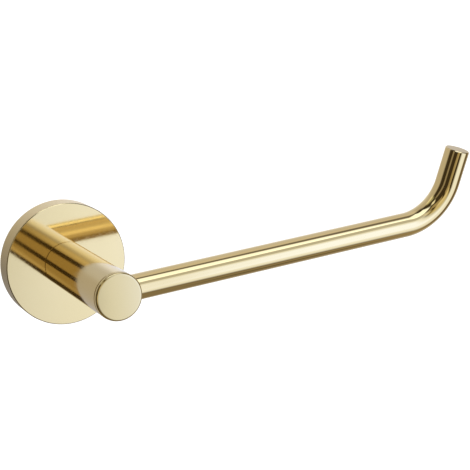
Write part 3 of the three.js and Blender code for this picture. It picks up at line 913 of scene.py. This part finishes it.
def cap(name, low, high):
    """The disc's and the stud's profile carried round the post's axis. The face is a little
    crowned: it falls with the square of the radius, and its edge is well rounded."""
    radius, out, end = high.x, -low.y, -high.y
    back = out - CAP_THICKNESS
    crown = np.linspace(0, CROWN_END, CROWN_ROWS) * radius
    profile = rounded([
        *[(r, out - CAP_CROWN * (r / radius) ** 2, 0) for r in crown],
        (radius, out - CAP_CROWN, CAP_ROUND),
        (radius, back, CAP_BACK_ROUND), (STUD_RADIUS, back, STUD_FILLET),
        (STUD_RADIUS, end, STUD_ROUND), (0, end, 0)], steps=CAP_STEPS)
    grid, wear = spin(*profile, sides=POST_SIDES)
    return skin(name, [(grid, wear * CAP_WEAR)])


# The cap's gold is a darker copy of the same plate: painted shade.
cap_gold = polished_gold("gold_plate_cap", (1, 0.25, 1), shade_share=0.45)
front_cap = cap("polished_front_cap", *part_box("front_cap"))
stand_for(front_cap, "front_cap", "holder", cap_gold)


# ---------------------------------------------------------------------------------------------
# Set screw. A short steel screw with no head, driven up through the flange's underside with a
# hexagon key until it grips the edge of the wall plate.
# ---------------------------------------------------------------------------------------------
SET_SCREW_KEY = 2 * MM
SET_SCREW_KEY_DEPTH = 1.6 * MM
SET_SCREW_PITCH = 0.7 * MM
SET_SCREW_FACE = 0.2 * MM
SET_SCREW_ROUND = 0.1 * MM
SET_SCREW_CHAMFER = 0.25 * MM


def grub_screw(name, low, high):
    """A machine screw made along Y, then laid along Z with its socket facing down."""
    radius, length = high.x, high.z - low.z
    core = radius - RIDGE_SHARE * SET_SCREW_PITCH
    start = length - SET_SCREW_CHAMFER
    corners = [(core, length, SET_SCREW_ROUND), (core, start, 0)]
    patches = machine_screw(core - SET_SCREW_FACE, length, SET_SCREW_KEY, SET_SCREW_KEY_DEPTH,
                            corners, start, 0, radius, SET_SCREW_PITCH)
    centre = np.array([0, (low.y + high.y) / 2, high.z])
    return skin(name, [(grid[..., [0, 2, 1]] * (-1, 1, 1) + centre, wear) for grid, wear in patches])


grub = grub_screw("socket_set_screw", *set_screw_box)
stand_for(grub, "flange_set_screw", "set_screw", steel)


# ---------------------------------------------------------------------------------------------
# The room it is shown in: a wide pale floor well below the holder, a camera to its left and
# above it, and a studio of soft panels round it that only its polish mirrors.
# ---------------------------------------------------------------------------------------------
FLOOR_Z = -0.35
FLOOR_HALF = 30.0
FLOOR_GREY = (0.90, 0.90, 0.90)
FLOOR_WHITE = (0.93, 0.93, 0.93)

corners = ((-1, -1), (1, -1), (1, 1), (-1, 1))
floor_mesh = bpy.data.meshes.new("floor")
corners = [(x * FLOOR_HALF, y * FLOOR_HALF, FLOOR_Z) for x, y in corners]
floor_mesh.from_pydata(corners, [], [(0, 1, 2, 3)])
floor = bpy.data.objects.new("floor", floor_mesh)
bpy.context.scene.collection.objects.link(floor)
paper, tree, shader, place = blank("pale_floor")
pale = tint(tree, grain(tree, place, scale=2), FLOOR_GREY, FLOOR_WHITE)
tree.links.new(pale, shader.inputs["Base Color"])
shader.inputs["Roughness"].default_value = 0.9
shader.inputs["Specular IOR Level"].default_value = 0.0
shader.inputs["Emission Color"].default_value = (1, 1, 1, 1)
shader.inputs["Emission Strength"].default_value = 0.3
floor.data.materials.append(paper)
floor.visible_glossy = False

CAMERA_PLACE = Vector((-0.1520, -0.4889, 0.1390))
CAMERA_TURN = np.radians(25.38)
CAMERA_TILT = np.radians(14.985)
CAMERA_ROLL = np.radians(-5.44)
CAMERA_LENS = 98.55

lens = bpy.data.cameras.new("camera")
lens.lens = CAMERA_LENS
lens.clip_start = 0.01
lens.clip_end = 200
camera = bpy.data.objects.new("camera", lens)
camera.matrix_world = (Matrix.Translation(CAMERA_PLACE) @ Matrix.Rotation(-CAMERA_TURN, 4, "Z")
                       @ Matrix.Rotation(np.pi / 2 - CAMERA_TILT, 4, "X")
                       @ Matrix.Rotation(CAMERA_ROLL, 4, "Z"))
bpy.context.scene.collection.objects.link(camera)
bpy.context.scene.camera = camera
bpy.context.scene.view_settings.view_transform = "Standard"

# A panel is where it faces, as an azimuth from the front towards the bar's side and an elevation,
# its half width and half height, how soft its sides and its ends are, all in degrees, and its
# light. Lights are a cool white, so that the plate on the brass turns them to a pale gold. A flag
# is a small black card that takes light away.
PANELS = {
    "key": (37, -11, 25.5, 34, 16, 16, (0.84, 0.97, 1.38)),
    "key core": (36, -4, 13, 22, 12, 16, (0.16, 0.26, 0.75)),
    "over the key": (28, 35, 32, 14, 16, 8, (0.46, 0.51, 0.64)),
    "ceiling": (18, 61, 48, 15, 20, 5, (1.14, 1.32, 1.78)),
    "ceiling left": (-46, 42, 9, 6, 8, 6, (0.85, 0.90, 0.95)),
    "ceiling right": (108, 61, 46, 13, 20, 10, (0.12, 0.12, 0.14)),
    "upper left": (-100, 56, 22, 12, 16, 10, (0.34, 0.36, 0.26)),
    "front left strip": (-17, 0, 11, 36, 6, 14, (0.31, 0.27, 0.18)),
    "front strip": (1, 0, 7, 36, 8, 14, (0.20, 0.17, 0.07)),
    "front glow": (-2, -4, 13, 14, 8, 8, (0.36, 0.36, 0.32)),
    "left strip": (-64, 8, 6, 30, 6, 14, (0.25, 0.23, 0.20)),
    "back wall": (180.5, 15, 76.5, 65, 16, 20, (0.46, 0.46, 0.50)),
    "back right": (159, 3, 18, 16, 14, 12, (0.40, 0.46, 0.62)),
    "back high": (165, 32, 34, 14, 20, 12, (0.09, 0.12, 0.20)),
    "below": (0, -80, 180, 32, 1, 20, (0.18, 0.16, 0.13)),
    "right": (82, -10, 26, 50, 16, 20, (0.10, 0.08, 0.05)),
    "flag high": (-9, 21, 3.5, 5, 2, 3, (-0.80, -0.80, -0.80)),
    "flag left": (-23, 0, 5, 3.5, 3, 2, (-0.80, -0.80, -0.80)),
    "flag low": (-2, -24, 7, 4, 3, 3, (-0.80, -0.80, -0.80)),
    "flag below": (84, -63, 12, 4, 8, 4, (-0.12, -0.10, -0.08)),
}
GLOOM = (0.045, 0.034, 0.020)  # between the panels
AIR = (1.0, 1.0, 1.0)  # behind the holder

world = bpy.data.worlds.new("studio")
world.use_nodes = True
bpy.context.scene.world = world
tree = world.node_tree
tree.nodes.clear()
direction = node(tree, "TexCoord").outputs["Generated"]
parts = node(tree, "SeparateXYZ", {"Vector": direction}).outputs
ahead = calc(tree, "MULTIPLY", parts["Y"], -1.0)
azimuth = calc(tree, "DEGREES", calc(tree, "ARCTAN2", parts["X"], ahead))
elevation = calc(tree, "DEGREES", calc(tree, "ARCSINE", parts["Z"]))
studio = node(tree, "CombineXYZ", dict(enumerate(GLOOM))).outputs[0]
for facing, height, half_width, half_height, soft_side, soft_end, colour in PANELS.values():
    aside = calc(tree, "SUBTRACT", azimuth, float(facing))
    aside = node(tree, "Math", {0: aside, 1: -180.0, 2: 180.0}, operation="WRAP").outputs[0]
    aside = calc(tree, "ABSOLUTE", aside)
    above = calc(tree, "ABSOLUTE", calc(tree, "SUBTRACT", elevation, float(height)))
    first, last = half_width - soft_side / 2, half_width + soft_side / 2
    sides = span(tree, aside, 1.0, 0.0, first, last, "SMOOTHSTEP")
    first, last = half_height - soft_end / 2, half_height + soft_end / 2
    ends = span(tree, above, 1.0, 0.0, first, last, "SMOOTHSTEP")
    share = calc(tree, "MULTIPLY", sides, ends)
    glow = node(tree, "VectorMath", {0: colour, "Scale": share}, operation="SCALE")
    studio = node(tree, "VectorMath", {0: studio, 1: glow.outputs[0]}, operation="ADD").outputs[0]
studio = node(tree, "VectorMath", {0: studio, 1: GLOOM}, operation="MAXIMUM").outputs[0]
glossy = node(tree, "LightPath").outputs["Is Glossy Ray"]
seen = tint(tree, glossy, AIR, studio)
background = node(tree, "Background", {"Color": seen})
tree.links.new(background.outputs[0], node(tree, "OutputWorld").inputs["Surface"])

bpy.context.view_layer.update()
